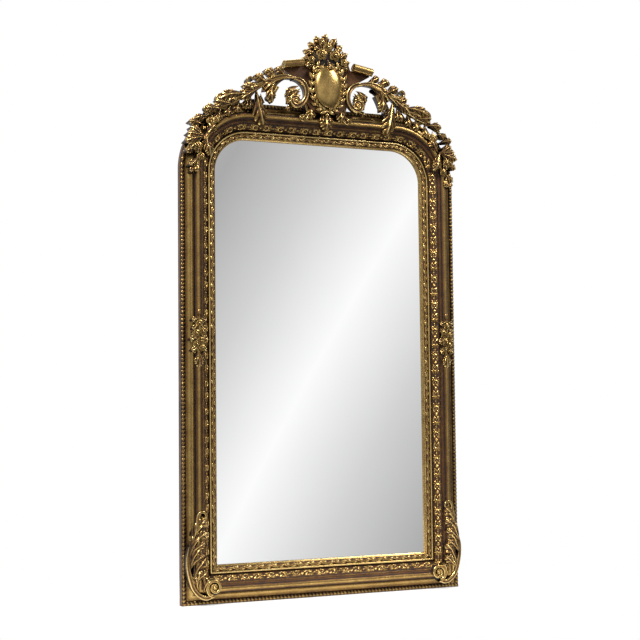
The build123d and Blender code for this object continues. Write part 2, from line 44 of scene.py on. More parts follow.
MM = 0.001
BEAD_LINE = -25.0
FRAME_WIDTH = 128.0
SIGHT_HALF, SIGHT_TOP, SIGHT_RADIUS = 392.0, 1567.0, 114.0
SPRING_X, SPRING_Z = SIGHT_HALF - SIGHT_RADIUS, SIGHT_TOP - SIGHT_RADIUS
FRAME_HALF = SIGHT_HALF + FRAME_WIDTH
CREST_Z = 1762.0

# The frieze repeats six times along the straight part of the top rail
PERIOD = SPRING_X / 3

# Relief of the plate behind the crest, and of the backs of the leaves on the crest and on the rails
PLATE, CREST_BACK, RAIL_BACK = 52.0, 32.0, 2.0

# Relief and distance from the centre line that keep the ornament just inside the CAD box
FRONT_LIMIT, SIDE_LIMIT = 85.8, 519.9


def smooth(low, high, t):
    t = np.clip((t - low) / (high - low), 0, 1)
    return t * t * (3 - 2 * t)


class Carving:
    """Quad patches gathered into one piece, with a value at each point for the wear of the gilding, which
    also carries painted shade in the hollows and painted highlight on the high parts.
    """

    def __init__(self):
        self.points, self.faces, self.wear, self.count = [], [], [], 0

    def patch(self, x, proud, z, wear, closed=False, flip=False):
        x, proud, z, wear = np.broadcast_arrays(x, proud, z, wear)
        rows, cols = x.shape
        self.points.append(np.stack([x, BEAD_LINE - proud, z], -1).reshape(-1, 3))
        self.wear.append(np.clip(wear, 0, 1).reshape(-1))
        index = np.arange(rows * cols).reshape(rows, cols) + self.count
        if closed:
            index = np.concatenate([index, index[:, :1]], 1)
        quads = np.stack([index[:-1, :-1], index[1:, :-1], index[1:, 1:], index[:-1, 1:]], -1)
        quads = quads.reshape(-1, 4)
        self.faces.append(quads[:, ::-1] if flip else quads)
        self.count += rows * cols

    def shell(self, x, proud, z, wear, back, edge=1.2):
        """A relief patch closed behind: its rim turns under and runs to a narrower flat back."""
        # The rim that turns under is darkened as painted shade
        narrowing, rim_wear, back_wear = 0.5, 0.4, 0.24
        rim = np.minimum(edge, np.maximum(proud - back, 0) * 0.5)
        middle = x.shape[1] // 2
        mx, mz = x[:, middle:middle + 1], z[:, middle:middle + 1]
        near, far = slice(0, 1), slice(-1, None)
        near_x, far_x = (mx + (x[:, i] - mx) * narrowing for i in (near, far))
        near_z, far_z = (mz + (z[:, i] - mz) * narrowing for i in (near, far))
        low = np.full_like(proud[:, near], np.minimum(back, proud.min()))
        worn = np.full_like(wear[:, near], back_wear)
        xs = [x[:, near], x, x[:, far], far_x, near_x]
        zs = [z[:, near], z, z[:, far], far_z, near_z]
        ps = [proud[:, near] - rim[:, near], proud, proud[:, far] - rim[:, far], low, low]
        ws = [wear[:, near] * rim_wear, wear, wear[:, far] * rim_wear, worn, worn]
        self.patch(*(np.concatenate(part, 1) for part in (xs, ps, zs, ws)), closed=True)

    def piece(self, name, material, slot, replaces, mirror=False, lean=0.0):
        """Build the mesh. The lean brings forward what is high on the crest and stands proud."""
        lean_from, lean_full = 1660, 1840
        fixed, carried = 34, 50
        points = np.concatenate(self.points)
        proud = BEAD_LINE - points[:, 1]
        proud = proud + lean * smooth(lean_from, lean_full, points[:, 2]) * smooth(fixed, carried, proud)
        points[:, 1] = BEAD_LINE - np.minimum(proud, FRONT_LIMIT)
        points[:, 0] = np.clip(points[:, 0], -SIDE_LIMIT, SIDE_LIMIT)
        points = points * MM
        faces = np.concatenate(self.faces)
        if mirror:
            points = points * (-1, 1, 1)
            faces = faces[:, ::-1]
        mesh = bpy.data.meshes.new(name)
        mesh.vertices.add(len(points))
        mesh.vertices.foreach_set("co", points.ravel().astype(np.float32))
        mesh.loops.add(faces.size)
        mesh.loops.foreach_set("vertex_index", faces.ravel().astype(np.int32))
        mesh.polygons.add(len(faces))
        mesh.polygons.foreach_set("loop_start", np.arange(0, faces.size, 4, dtype=np.int32))
        mesh.polygons.foreach_set("use_smooth", np.ones(len(faces), bool))
        mesh.update(calc_edges=True)
        mesh.validate()
        # Wear of the gilding, with painted shade where the value is low and painted highlight where it is
        # high
        layer = mesh.attributes.new("wear", "FLOAT", "POINT")
        layer.data.foreach_set("value", np.concatenate(self.wear).astype(np.float32))
        mesh.materials.append(material)
        piece = bpy.data.objects.new(name, mesh)
        bpy.context.scene.collection.objects.link(piece)
        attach(piece, "mirror")
        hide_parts(*replaces)

    def casting(self, node, material=None, lean=0.0):
        """The gilding of one ornament that stands on the centre line."""
        self.piece(node + "_gilding", material or crest_gilt, "gilt_casting", [node], lean=lean)

    def castings(self, node, lean=0.0):
        """The gilding of an ornament of the right side and of its mirror image."""
        for side in ("right", "left"):
            self.piece(f"{node}_gilding_{side}", crest_gilt, "gilt_casting", [f"{node}_{side}"],
                       mirror=side == "left", lean=lean)


# Materials

# Gilding from the hollows up: umber wax deepened to near black as painted shade, red-brown bole, gold, and
# pale gold on the rubbed edges that is also a painted highlight
UMBER_AND_SHADE, BOLE = (0.008, 0.006, 0.005), (0.115, 0.048, 0.018)
GOLD, RUBBED_AND_HIGHLIGHT = (0.56, 0.36, 0.115), (0.92, 0.72, 0.34)


def nodes_of(name):
    material = bpy.data.materials.new(name)
    material.use_nodes = True
    tree = material.node_tree
    return material, tree, tree.nodes["Principled BSDF"]


def add(tree, kind, **values):
    node = tree.nodes.new(kind)
    for key, value in values.items():
        if key in node.inputs:
            node.inputs[key].default_value = value
        else:
            setattr(node, key, value)
    return node


def ramp(tree, source, stops):
    node = tree.nodes.new("ShaderNodeValToRGB")
    elements = node.color_ramp.elements
    while len(elements) < len(stops):
        elements.new(0.5)
    for element, (place, colour) in zip(elements, stops):
        element.position = place
        element.color = (*colour, 1) if len(colour) == 3 else (colour[0],) * 3 + (1,)
    tree.links.new(source, node.inputs[0])
    return node.outputs[0]


def maths(tree, operation, a, b=None, c=None):
    node = tree.nodes.new("ShaderNodeMath")
    node.operation = operation
    for socket, value in zip(node.inputs, (a, b, c)):
        if value is None:
            continue
        if isinstance(value, (int, float)):
            socket.default_value = value
        else:
            tree.links.new(value, socket)
    return node.outputs[0]


def noise(tree, scale, detail=4.0, roughness=0.55, stretch=None):
    place = tree.nodes.new("ShaderNodeTexCoord").outputs["Object"]
    if stretch:
        mapping = tree.nodes.new("ShaderNodeMapping")
        mapping.inputs["Scale"].default_value = stretch
        tree.links.new(place, mapping.inputs["Vector"])
        place = mapping.outputs[0]
    node = add(tree, "ShaderNodeTexNoise", Scale=scale, Detail=detail, Roughness=roughness)
    tree.links.new(place, node.inputs["Vector"])
    return node.outputs["Fac"]


def roughen(tree, shader, height, strength, distance):
    bump = add(tree, "ShaderNodeBump", Strength=strength, Distance=distance)
    tree.links.new(height, bump.inputs["Height"])
    tree.links.new(bump.outputs[0], shader.inputs["Normal"])


def gilt(name, lift, spread, gold=GOLD, rough=0.29):
    """Water-gilt gesso: worn gold with painted highlight on the high parts, bole and umber wax with
    painted shade in the hollows.
    """
    material, tree, shader = nodes_of(name)
    wear = add(tree, "ShaderNodeAttribute", attribute_name="wear").outputs["Fac"]
    broad = noise(tree, 22, 3)
    fine = noise(tree, 260, 5, 0.62)
    mottled = maths(tree, "MULTIPLY_ADD", broad, 0.34, -0.17)
    grain = maths(tree, "MULTIPLY_ADD", fine, 0.5, -0.25)
    level = maths(tree, "MULTIPLY_ADD", wear, spread, lift)
    level = maths(tree, "ADD", level, mottled)
    level = maths(tree, "ADD", level, grain)
    dulled = tuple(g * 0.42 + b * 0.25 for g, b in zip(gold, BOLE))
    # The lowest stop is painted shade in the hollows and the top stop is painted highlight on the rubbed
    # gold
    stops = [(0.12, UMBER_AND_SHADE), (0.34, BOLE), (0.52, dulled), (0.74, gold), (1.0, RUBBED_AND_HIGHLIGHT)]
    tree.links.new(ramp(tree, level, stops), shader.inputs["Base Color"])
    metal = ramp(tree, level, [(0.12, (0.15,)), (0.50, (0.92,))])
    tree.links.new(metal, shader.inputs["Metallic"])
    patchy = maths(tree, "MULTIPLY_ADD", fine, 0.20, rough - 0.14)
    waxy = ramp(tree, level, [(0.15, (0.35,)), (0.6, (0.0,))])
    tree.links.new(maths(tree, "ADD", patchy, waxy), shader.inputs["Roughness"])
    roughen(tree, shader, fine, 0.25, 0.0006)
    return material


def pine_wood(name, stretch):
    """Sawn pine, with its grain along the direction that is stretched least."""
    light, deep = (0.64, 0.45, 0.25), (0.47, 0.28, 0.13)
    material, tree, shader = nodes_of(name)
    grain = noise(tree, 2.2, 3, 0.5, stretch)
    fine = noise(tree, 26, 4, 0.6, stretch)
    rings = maths(tree, "FRACT", maths(tree, "MULTIPLY", grain, 9.0))
    rings = maths(tree, "PINGPONG", rings, 0.5)
    tone = maths(tree, "MULTIPLY_ADD", rings, 0.9, maths(tree, "MULTIPLY", fine, 0.45))
    tree.links.new(ramp(tree, tone, [(0.1, light), (0.75, deep)]), shader.inputs["Base Color"])
    shader.inputs["Roughness"].default_value = 0.72
    roughen(tree, shader, fine, 0.2, 0.0005)
    return material


def speckled(name, low, high, scale, metallic=0.0, rough=0.6, stretch=None):
    material, tree, shader = nodes_of(name)
    fine = noise(tree, scale, 5, 0.65, stretch)
    tree.links.new(ramp(tree, fine, [(0.3, low), (0.7, high)]), shader.inputs["Base Color"])
    tree.links.new(maths(tree, "MULTIPLY_ADD", fine, 0.3, rough - 0.15), shader.inputs["Roughness"])
    shader.inputs["Metallic"].default_value = metallic
    roughen(tree, shader, fine, 0.25, 0.0003)
    return material


def silvering():
    """Silvered glass with the slightest unevenness of tone."""
    material, tree, shader = nodes_of("silvered_glass")
    tones = [(0.3, (0.955, 0.962, 0.96)), (0.7, (0.975, 0.98, 0.978))]
    tree.links.new(ramp(tree, noise(tree, 3, 2), tones), shader.inputs["Base Color"])
    shader.inputs["Metallic"].default_value = 1.0
    shader.inputs["Roughness"].default_value = 0.0
    return material


moulding_gilt = gilt("moulding_gilding", lift=0.02, spread=0.9, rough=0.3)
crest_gilt = gilt("crest_gilding", lift=-0.04, spread=1.0)
dome_gilt = gilt("cabochon_gilding", lift=0.05, spread=0.8, gold=(0.66, 0.44, 0.15), rough=0.27)
pine = pine_wood("pine", (9, 9, 0.5))
pine_across = pine_wood("pine_across", (0.5, 9, 9))
hardboard = speckled("hardboard", (0.17, 0.095, 0.05), (0.26, 0.16, 0.09), 420)
zinc = speckled("zinc_steel", (0.50, 0.51, 0.52), (0.66, 0.66, 0.66), 300, 1.0, 0.38, (1, 1, 9))
rubber = speckled("rubber", (0.012, 0.012, 0.012), (0.03, 0.03, 0.03), 500, 0.0, 0.75)
silver = silvering()


# Mouldings

def arc_through(a, b, c, count):
    (ax, ay), (bx, by), (cx, cy) = a, b, c
    d = 2 * (ax * (by - cy) + bx * (cy - ay) + cx * (ay - by))
    ux = ((ax * ax + ay * ay) * (by - cy) + (bx * bx + by * by) * (cy - ay)
          + (cx * cx + cy * cy) * (ay - by)) / d
    uy = ((ax * ax + ay * ay) * (cx - bx) + (bx * bx + by * by) * (ax - cx)
          + (cx * cx + cy * cy) * (bx - ax)) / d
    start, middle, end = (atan2(y - uy, x - ux) for x, y in (a, b, c))
    sweep = (end - start) % tau
    if (middle - start) % tau > sweep:
        sweep -= tau
    angle = start + sweep * np.linspace(0, 1, count)
    radius = np.hypot(ax - ux, ay - uy)
    return ux + radius * np.cos(angle), uy + radius * np.sin(angle)


def section(parts):
    """Rows of a moulding: distance out from the glass, relief, normal, band and place across it."""
    rows = []
    for band, count, *points in parts:
        if len(points) == 3:
            u, p = arc_through(*points, count)
        else:
            u, p = (np.linspace(points[0][i], points[1][i], count) for i in (0, 1))
        du, dp = np.gradient(u), np.gradient(p)
        run = np.hypot(du, dp)
        across = np.concatenate([[0], np.cumsum(np.hypot(np.diff(u), np.diff(p)))])
        for i in range(count):
            rows.append((u[i], p[i], -dp[i] / run[i], du[i] / run[i], band,
                         across[i] - across[-1] / 2, across[i] / across[-1]))
    return rows


# Relief motifs: p runs along the moulding, q across it

def bar(distance, width, height):
    return height * np.sqrt(np.clip(1 - (distance / width) ** 2, 0, 1))


def berry(p, q, x, y, radius, height):
    return bar(np.hypot(p - x, q - y), radius, height)


def sprig(p, q, x, y, heading, length, width, height):
    """Small pointed leaf with a sunk vein, from its root towards the heading."""
    a = radians(heading)
    along = ((p - x) * cos(a) + (q - y) * sin(a)) / length
    off = -(p - x) * sin(a) + (q - y) * cos(a)
    inside = (along > 0) & (along < 1)
    reach = width / 2 * np.sin(pi * np.clip(along, 0, 1) ** 0.75) + 1e-6
    leaf = height * np.sqrt(np.clip(1 - (off / reach) ** 2, 0, 1))
    vein = 0.45 * height * np.exp(-(off / (0.13 * width)) ** 2)
    return np.where(inside, np.maximum(leaf - vein, 0), 0)


def c_curve(p, q, x, y, radius, opening, width, height):
    """C-scroll open towards the angle, with a ball at each end."""
    half_gap = 42
    angle = np.degrees(np.arctan2(q - y, p - x))
    away = np.abs((angle - opening + 180) % 360 - 180)
    body = np.where(away > half_gap, bar(np.hypot(p - x, q - y) - radius, width, height), 0)
    for side in (-1, 1):
        a = radians(opening + half_gap * side)
        inner = radius - 1.6
        ball = berry(p, q, x + inner * cos(a), y + inner * sin(a), width * 1.35, height * 1.15)
        body = np.maximum(body, ball)
    return body


def frieze(s, q):
    """Facing C-scrolls about a flower, then crossed leaves about a berry."""
    p = (s / PERIOD + 0.5) % 1 * PERIOD - PERIOD / 2
    p = np.abs(p)
    radius = np.hypot(p, q)
    petals = 4.6 + 2.2 * np.abs(np.cos(2.5 * np.arctan2(q, p)))
    rose = np.where(radius < petals, 3.4 - 1.6 * (radius / petals) ** 2, 0)
    rose = np.maximum(rose, berry(p, q, 0, 0, 2.4, 4.6))
    parts = [rose, c_curve(p, q, 18.5, 0, 9.8, 180, 2.3, 4.2)]
    parts += [sprig(p, q, 19, y, h, 11, 6, 3.2) for y, h in ((-9, 15), (9, -15))]
    parts += [berry(p, q, 18, 0, 3.0, 3.2), bar(p - 30.5, 1.5, 2.8) * (np.abs(q) < 12)]
    parts += [sprig(p, q, 32, y, h, 12, 6, 3.4) for y, h in ((0, 0), (4, 48), (-4, -48))]
    parts += [berry(p, q, PERIOD / 2, 0, 3.4, 4.0)]
    parts += [sprig(p, q, 8, y, h, 10, 5, 2.8) for y, h in ((-5, -62), (5, 62))]
    parts += [berry(p, q, 30, y, 2.6, 3.2) for y in (-11.5, 11.5)]
    stipple = 0.45 * np.sin(p * 2.1) * np.sin(q * 2.1)
    top = np.maximum.reduce(parts)
    return np.where(top > 0.2, top, stipple)


def vine(s, q):
    """Waved stem with a leaf in every hollow and berries between."""
    wave = PERIOD / 4
    p = (s / wave) % 2 * wave
    parts = [bar(q - 3.6 * np.cos(pi * p / wave), 1.5, 1.9)]
    for shift in (-2 * wave, 0, 2 * wave):
        parts.append(sprig(p, q, shift - 9, -5.2, 14, 16, 7.5, 2.7))
        parts.append(sprig(p, q, shift + wave - 9, 5.2, -14, 16, 7.5, 2.7))
        parts.append(berry(p, q, shift + wave * 0.5, 6.0, 1.9, 2.2))
        parts.append(berry(p, q, shift + wave * 1.5, -6.0, 1.9, 2.2))
    return np.maximum.reduce(parts)


def laurel_band(s, q):
    """Three-fingered leaves in a row, each with a berry on one side of its root."""
    step = PERIOD / 7
    p = (s / step) % 1 * step
    parts = []
    for shift in (-step, 0, step):
        parts.append(sprig(p, q, shift + 1, 0, 12, step * 0.98, 7, 3.0))
        parts.append(sprig(p, q, shift + 1, 1, 42, 8.5, 4.5, 2.8))
        parts.append(sprig(p, q, shift + 1, -1, -42, 8.5, 4.5, 2.8))
        parts.append(berry(p, q, shift + 2, -5, 1.8, 2.6))
    return np.maximum.reduce(parts)


# Carved bands: the relief, the depth at which it is fully worn, and the wear of ground and high parts,
# which is also painted shade on the sunk ground and painted highlight on the raised pattern
CARVED = {
    "frieze": (frieze, 4.2, 0.20, 0.92),
    "vine": (vine, 2.6, 0.30, 1.0),
    "laurel": (laurel_band, 3.0, 0.14, 0.76),
}
# Wear and painted light of the plain bands at the inner edge, the middle and the outer edge: painted
# highlight along the middle of rounded bands, painted shade in the quirks and towards the edges, and the
# scotia painted lighter than the torus as if catching the light
PLAIN = {
    "slip": (0.75, 0.95, 0.7), "bead": (0.3, 1.0, 0.3), "fillet": (0.3, 0.4, 0.3),
    "cove": (0.45, 0.35, 0.3), "torus": (0.16, 0.70, 0.20), "quirk": (0.15, 0.1, 0.15),
    "scotia": (0.50, 0.86, 0.45), "side": (0.35, 0.3, 0.25),
}

# Each band of a section: its rows, then two ends of a line or three points of an arc, as the
# distance out from the glass and the relief
OUTER_SECTION = section([
    ("fillet", 3, (31, -6), (31, -1)),
    ("fillet", 2, (31, -1), (33, 0)),
    ("frieze", 26, (33, 0), (45, 14.5), (54, 25)),
    ("fillet", 2, (54, 25), (56, 26)),
    ("cove", 6, (56, 26), (61, 26.4), (65, 29)),
    ("torus", 15, (65, 29), (75.5, 39.5), (86, 29)),
    ("quirk", 3, (86, 29), (86, 25)),
    ("quirk", 3, (86, 25), (88.5, 25)),
    ("scotia", 13, (88.5, 25), (95.5, 10.5), (112, 4)),
    ("quirk", 3, (112, 4), (113, 2)),
    ("laurel", 13, (113, 2), (120.5, 6), (FRAME_WIDTH, 1)),
    ("side", 5, (FRAME_WIDTH, 1), (FRAME_WIDTH, -22)),
])
SIGHT_SECTION = section([
    ("slip", 2, (0, -14), (0, -12.5)),
    ("slip", 7, (0, -12.5), (1.8, -5.2), (6, -2)),
    ("quirk", 2, (6, -2), (7, -2)),
    ("vine", 15, (7, -2), (14, 2), (21, -2)),
    ("bead", 9, (21, -2), (25, 4), (29, -2)),
    ("quirk", 2, (29, -2), (31, -2)),
])

# How far apart the points of a moulding are along its run, and the length of each run
GRAIN = 2.0
LENGTHS = {"left": SPRING_Z, "corner_left": 320.0, "top": 2 * SPRING_X, "bottom": 2 * FRAME_HALF}
# The way out from the glass on the straight runs
OUTWARD = {"left": (-1, 0), "top": (0, 1), "bottom": (0, -1)}


def place(run, u, t):
    """Elevation point and pattern length, at distance u from the glass and share t of a run."""
    if run == "left":
        foot = (FRAME_WIDTH - u) * (1 - t)
        return -SIGHT_HALF - u + 0 * t, foot + SPRING_Z * t, SPRING_Z - foot - SPRING_Z * t
    if run == "corner_left":
        a = pi - t * pi / 2
        r = SIGHT_RADIUS + u
        return -SPRING_X + r * np.cos(a), SPRING_Z + r * np.sin(a), -t * PERIOD * 2.5 + 0 * u
    if run == "top":
        x = SPRING_X * (2 * t - 1) + 0 * u
        return x, SIGHT_TOP + u + 0 * t, -PERIOD * 2.5 - SPRING_X * 2 * t + 0 * u
    x = (SIGHT_HALF + u) * (1 - 2 * t)
    return x, FRAME_WIDTH - u + 0 * t, x


def moulding(rows, run):
    """Carving of one run. The pattern is raised along the section's own normal."""
    bands = [row[4] for row in rows]
    u, p, nu, np_, q, v = (np.array([row[i] for row in rows])[:, None] for i in (0, 1, 2, 3, 5, 6))
    t = np.linspace(0, 1, int(LENGTHS[run] / GRAIN))[None, :]
    x, z, s = place(run, u, t)
    relief = np.zeros_like(s)
    wear = np.zeros_like(s)
    for band in set(bands):
        at = [i for i, b in enumerate(bands) if b == band]
        if band in CARVED:
            carve, depth, ground, high = CARVED[band]
            relief[at] = carve(s[at], q[at] + 0 * s[at])
            # Painted shade on the sunk ground, rising to wear and painted highlight on the raised pattern
            wear[at] = ground + (high - ground) * np.clip(relief[at] / depth, 0, 1) ** 0.7
            relief[at] *= np.clip((0.5 - np.abs(v[at] - 0.5)) * 8, 0, 1)
        else:
            inner, middle, outer = PLAIN[band]
            # Painted highlight along the middle of the band and painted shade towards its edges, as the
            # table gives
            rising = inner + (middle - inner) * smooth(0.1, 0.5, v[at])
            falling = middle + (outer - middle) * smooth(0.5, 0.9, v[at])
            wear[at] = np.where(v[at] < 0.5, rising, falling)
    if run in OUTWARD:
        out_x, out_z = OUTWARD[run]
        x = x + out_x * nu * relief
        z = z + out_z * nu * relief
    else:
        x, z, _ = place(run, u + nu * relief, t)
    x = np.clip(x, -FRAME_HALF, FRAME_HALF)
    z = np.maximum(z, 0)
    carving = Carving()
    carving.patch(x, p + np_ * relief, z, wear, flip=run == "bottom")
    return carving


for part, rows in (("outer_moulding", OUTER_SECTION), ("sight_moulding", SIGHT_SECTION)):
    for run in ("left", "corner_left", "top", "bottom"):
        carving = moulding(rows, run)
        carving.piece(f"{part}_gilding_{run}", moulding_gilt, "gilt_moulding", [f"{part}_{run}"])
        if "left" in run:
            other = run.replace("left", "right")
            carving.piece(f"{part}_gilding_{other}", moulding_gilt, "gilt_moulding",
                          [f"{part}_{other}"], mirror=True)


# Elements of the carved ornament. Headings and curls are in degrees, anticlockwise in the elevation.

def bend(x, z, heading, length, curl, t):
    """Point and direction at share t of a line that turns by the curl."""
    a0 = radians(heading)
    if abs(curl) < 1:
        return x + length * t * cos(a0), z + length * t * sin(a0), a0 + 0 * t
    radius = length / radians(curl)
    a = a0 + radians(curl) * t
    return x + radius * (np.sin(a) - sin(a0)), z - radius * (np.cos(a) - cos(a0)), a


def acanthus(c, x, z, heading, length, width, proud, curl=0.0, lobes=4, back=CREST_BACK,
             arch=5.0, roll=7.0):
    """Acanthus leaf: fluted lobes sweep forward from a raised midrib, and the tip rolls over."""
    lobes = max(3, lobes - 1)
    t = np.linspace(0, 1, lobes * 14 + 1)[:, None]
    w = np.linspace(-1, 1, 19)[None, :]
    edge = np.abs(w)
    size = width / 30
    flute = np.abs(np.sin(pi * t * lobes))

    # Outline: a pointed envelope, notched between the lobes
    envelope = np.sin(pi * (0.13 + 0.80 * t ** 0.86)) ** 0.8 * np.sqrt(np.clip(1 - t ** 9, 0, 1))
    half = width / 2 * envelope * (0.66 + 0.46 * flute ** 0.55)
    along = np.clip(t + 0.50 * edge ** 1.25 * (1 - t), 0, 1)
    mx, mz, a = bend(x, z, heading, length, curl, along)
    off = w * half
    px, pz = mx - off * np.sin(a), mz + off * np.cos(a)

    # Relief: arched blade, flutes, midrib between two valleys, and a vein up each lobe
    outer = smooth(0.16, 0.72, edge)
    rib = np.exp(-(off / (1.7 * size)) ** 2) * (1 - along) ** 0.25
    valley = np.exp(-((np.abs(off) - 4.0 * size) / (1.6 * size)) ** 2)
    vein = np.exp(-((flute - 1) / 0.06) ** 2) * outer * (1 - edge ** 4)
    height = proud + arch * np.sin(pi * along) + roll * np.sin(pi * 0.80 * smooth(0.45, 1, along))
    height = height - 8.0 * size * edge ** 2.2 + 3.4 * size * (flute - 1) * outer
    height = height + 2.4 * size * rib - 1.8 * size * valley - 0.9 * size * vein

    # Wear and painted light: rubbed and painted highlight on the rib, the rims and the tip, painted shade
    # in the flutes, valleys and veins and at the root
    wear = 0.56 + 0.34 * rib - 0.66 * (1 - flute) * outer - 0.34 * valley - 0.12 * vein
    wear = wear + 0.26 * smooth(0.62, 0.92, edge) * flute + 0.30 * smooth(0.5, 1, along)
    wear = wear - 0.45 * smooth(0.35, 0.0, along)
    c.shell(px, np.maximum(height, back + 0.5), pz, wear, back)


def foliage(c, leaves, **shape):
    """Leaves, each as root x, root z, heading, length, width, relief, curl and lobes."""
    for leaf in leaves:
        acanthus(c, *leaf, **shape)


def ribbon(c, path, proud, width, back=CREST_BACK, channel=0.5, crown=0.45):
    """Band along a path in the elevation, with a sunk channel between two rounded rims."""
    px, pz = path
    width = np.broadcast_to(width, (len(px),))[:, None] * 1.0
    proud = np.broadcast_to(proud, (len(px),))[:, None] * 1.0
    a = np.arctan2(np.gradient(pz), np.gradient(px))[:, None]
    w = np.linspace(-1, 1, 13)[None, :]
    edge = np.abs(w)
    hollow = channel * (1 - smooth(0.15, 0.62, edge))
    height = proud + width * crown * (np.sqrt(np.clip(1 - edge ** 2.6, 0, 1)) - hollow)
    x = px[:, None] - w * width / 2 * np.sin(a)
    z = pz[:, None] + w * width / 2 * np.cos(a)
    # Wear with painted highlight on the rims, and painted shade in the sunk channel and at the edges
    rims = smooth(0.4, 0.75, edge) * (1 - smooth(0.86, 1, edge))
    wear = 0.72 + 0.25 * rims - 0.9 * hollow - 0.3 * smooth(0.9, 1, edge)
    c.shell(x, np.maximum(height, back + 0.3), z, wear + 0 * x, back, edge=2.0)


def taper(path, first, last):
    return np.linspace(first, last, len(path[0]))


def swell(path, shares, widths):
    return np.interp(np.linspace(0, 1, len(path[0])), shares, widths)


def spiral(x, z, outer, inner, start, sweep, count):
    t = np.linspace(0, 1, count)
    a = np.radians(start + sweep * t)
    r = outer + (inner - outer) * t ** 0.9
    return x + r * np.cos(a), z + r * np.sin(a)


def through(*points):
    """Smooth curve through the points, by Catmull-Rom spans."""
    step = 3.0
    pts = np.array(points, float)
    pts = np.vstack([2 * pts[0] - pts[1], pts, 2 * pts[-1] - pts[-2]])
    out = []
    for i in range(1, len(pts) - 2):
        p0, p1, p2, p3 = pts[i - 1:i + 3]
        n = max(3, int(np.hypot(*(p2 - p1)[:2]) / step))
        t = np.linspace(0, 1, n, endpoint=False)[:, None]
        out.append(0.5 * (2 * p1 + (p2 - p0) * t + (2 * p0 - 5 * p1 + 4 * p2 - p3) * t ** 2
                          + (3 * p1 - p0 - 3 * p2 + p3) * t ** 3))
    return np.vstack(out + [pts[-2:-1]]).T


def dome(c, x, z, rx, rz, proud, height, wear=0.85, rings=7, sides=20):
    t = np.linspace(0, 1, rings)[:, None]
    a = np.linspace(0, tau, sides, endpoint=False)[None, :]
    out = np.sin(t * pi / 2)
    # Darker towards the foot of the dome, as painted shade
    c.patch(x + rx * out * np.cos(a), proud + height * np.cos(t * pi / 2) + 0 * a,
            z + rz * out * np.sin(a), wear - 0.5 * t ** 3 + 0 * a, closed=True, flip=True)


# Rings of petals in a rose: reach, count, lift and cupping
PETALS = ((1.0, 5, 0.0, 0.22), (0.74, 5, 0.16, 0.34), (0.46, 4, 0.36, 0.42))


def rose(c, x, z, radius, proud, back=CREST_BACK, turn=0.0):
    """Open rose: three rings of cupped petals round a coiled heart."""
    r = np.linspace(0.12, 1, 8)[:, None]
    w = np.linspace(-1, 1, 9)[None, :]
    for ring, (reach, count, lift, cup) in enumerate(PETALS):
        for i in range(count):
            a = tau * (i + 0.5 * ring) / count + turn + w * 0.80 * np.sin(pi * (0.20 + 0.60 * r)) ** 0.5
            rr = radius * reach * r * (1 - 0.20 * w ** 2)
            curve = lift + cup * r ** 1.5 - 0.20 * smooth(0.75, 1, r) + 0.10 * w ** 2 * r
            # Painted shade deep in the heart of the rose and on the petal edges, lighter towards the petal
            # tips
            wear = 0.02 + 0.80 * r ** 1.5 - 0.30 * (np.abs(w) > 0.85) + 0 * a
            c.shell(x + rr * np.cos(a), proud + radius * curve, z + rr * np.sin(a), wear, back, edge=1.0)
    dome(c, x, z, radius * 0.24, radius * 0.24, proud + radius * 0.45, radius * 0.32, 0.9)


def berries(c, places, proud, radius):
    for x, z in places:
        dome(c, x, z, radius, radius, proud, radius * 1.2, 0.95, rings=5, sides=12)


def laurel(c, x, z, heading, length, width, proud):
    """Plain pointed leaf with a sunk vein."""
    t = np.linspace(0, 1, 11)[:, None]
    w = np.linspace(-1, 1, 9)[None, :]
    half = width / 2 * np.sin(pi * t ** 0.8) + 0.05
    mx, mz, a = bend(x, z, heading, length, 12, t)
    off = w * half
    vein = np.exp(-(off / 0.9) ** 2)
    height = proud + 2.2 * np.sin(pi * t) - 2.2 * np.abs(w) ** 1.6 - 1.2 * vein
    # Painted shade in the sunk vein and at the edges, painted highlight along the middle of the leaf
    wear = 0.72 + 0.2 * np.sin(pi * t) - 0.5 * vein - 0.25 * np.abs(w) ** 3
    c.shell(mx - off * np.sin(a), height, mz + off * np.cos(a), wear, PLATE, edge=0.8)


# Crest

def cabochon():
    """Oval boss, slightly pointed below, with a thin raised rim."""
    c = Carving()
    t = np.linspace(0, 1, 40)[:, None]
    a = np.linspace(0, tau, 96, endpoint=False)[None, :]
    point = 1 + 0.05 * np.clip(-np.sin(a), 0, 1) ** 8
    x = 52 * np.sin(t * pi / 2) * np.cos(a)
    z = CREST_Z + 73 * point * np.sin(t * pi / 2) * np.sin(a)
    rim = smooth(0.86, 0.93, t) * (1 - smooth(0.95, 1.0, t))
    height = PLATE + 11 + 22.5 * np.cos(t * pi / 2) ** 0.9 + 2.5 * rim
    quirk = smooth(0.90, 0.95, t) * (1 - smooth(0.96, 1, t))
    # Painted shade in the quirk inside the rim
    wear = 0.72 + 0.12 * np.cos(3 * a + 1) * smooth(0.2, 0.8, t) - 0.55 * quirk
    c.patch(x, height + 0 * a, np.maximum(z, CREST_Z - 76), wear, closed=True, flip=True)
    c.casting("cabochon", dome_gilt)


